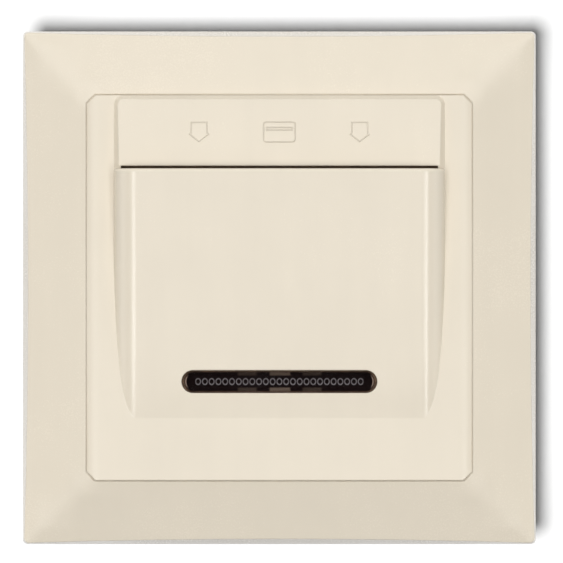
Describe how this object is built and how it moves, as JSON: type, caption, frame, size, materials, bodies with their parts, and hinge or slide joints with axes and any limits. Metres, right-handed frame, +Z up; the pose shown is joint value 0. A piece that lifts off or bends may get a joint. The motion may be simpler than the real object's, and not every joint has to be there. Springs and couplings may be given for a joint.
{
  "type": "key card switch",
  "caption": "Square wall switch that a hotel key card turns on: card pocket, slot, smoked lamp window, cover frame, steel bridge and switch mechanism.",
  "frame": {"origin": "on the wall plane, at the centre of the box screw pattern", "axes": "+X right as seen from the front, +Z up, +Y into the wall; the front faces -Y"},
  "size_m": [0.088, 0.0413, 0.088],
  "materials": {
    "frame_plastic": "satin cream",
    "plate_plastic": "satin cream",
    "black_plastic": "matt",
    "smoked_lens": "smoked, polished",
    "clear_plastic": "frosted",
    "zinc_steel": "zinc plated",
    "grey_plastic": "moulded",
    "screw_steel": "nickel plated",
    "lever_plastic": "moulded",
    "contact_brass": "stamped",
    "contact_silver": "satin",
    "spring_steel": "rolled",
    "button_plastic": "moulded",
    "board_laminate": "coated laminate",
    "lamp_glass": "clear glass",
    "lead_wire": "tinned",
    "resistor_ceramic": "lacquered",
    "claw_steel": "passivated"
  },
  "bodies": {
    "root": {"cover_frame": "frame_plastic", "centre_plate": "plate_plastic", "card_guide": "black_plastic", "indicator_lens": "smoked_lens", "light_guide": "clear_plastic", "mounting_bridge": "zinc_steel", "mechanism_base": "grey_plastic", "mechanism_cover": "grey_plastic", "case_screws": "screw_steel", "lever_pin": "screw_steel", "fixed_contact_tips": "contact_silver", "fixed_contact_left": "contact_brass", "fixed_contact_right": "contact_brass", "return_spring": "spring_steel", "terminal_line": "contact_brass", "terminal_load": "contact_brass", "clamp_springs": "spring_steel", "lamp_board": "board_laminate", "glow_lamp": "lamp_glass", "lamp_leads": "lead_wire", "lamp_resistor": "resistor_ceramic", "lamp_pins": "contact_brass"},
    "lever": {"card_lever": "lever_plastic", "contact_carrier": "lever_plastic", "moving_contact": "contact_brass", "moving_contact_tips": "contact_silver"},
    "release_line": {"release_button_line": "button_plastic"},
    "release_load": {"release_button_load": "button_plastic"},
    "screw_left": {"claw_screw_left": "screw_steel"},
    "screw_right": {"claw_screw_right": "screw_steel"},
    "claw_left": {"claw_left": "claw_steel"},
    "claw_right": {"claw_right": "claw_steel"}
  },
  "joints": [
    {"name": "card_press", "type": "hinge", "parent": "root", "child": "lever", "pos_m": [0, -0.0066, 0.008], "axis": [1, 0, 0], "range_deg": [0, 5.16], "stiffness_Nm_per_rad": 0.002, "springref_deg": -5.73, "deforming": ["return_spring"]},
    {"name": "release_line_press", "type": "slide", "parent": "root", "child": "release_line", "axis": [0, -1, 0], "range_m": [0, 0.0012], "stiffness_N_per_m": 500, "springref_m": -0.002, "deforming": ["clamp_springs"]},
    {"name": "release_load_press", "type": "slide", "parent": "root", "child": "release_load", "axis": [0, -1, 0], "range_m": [0, 0.0012], "stiffness_N_per_m": 500, "springref_m": -0.002, "deforming": ["clamp_springs"]},
    {"name": "claw_screw_left_turn", "type": "hinge", "parent": "root", "child": "screw_left", "pos_m": [-0.0241, 0, 0.009], "axis": [0, -1, 0], "range_deg": [0, 540]},
    {"name": "claw_left_swing", "type": "hinge", "parent": "root", "child": "claw_left", "pos_m": [-0.0215, 0.003, 0.009], "axis": [0, 0, 1], "range_deg": [0, 15.2]},
    {"name": "claw_screw_right_turn", "type": "hinge", "parent": "root", "child": "screw_right", "pos_m": [0.0241, 0, -0.009], "axis": [0, -1, 0], "range_deg": [0, 540]},
    {"name": "claw_right_swing", "type": "hinge", "parent": "root", "child": "claw_right", "pos_m": [0.0215, 0.003, -0.009], "axis": [0, 0, -1], "range_deg": [0, 15.2]}
  ],
  "couplings": [
    {"joint": "claw_left_swing", "follows": "claw_screw_left_turn", "ratio": 0.027778},
    {"joint": "claw_right_swing", "follows": "claw_screw_right_turn", "ratio": 0.027778}
  ]
}
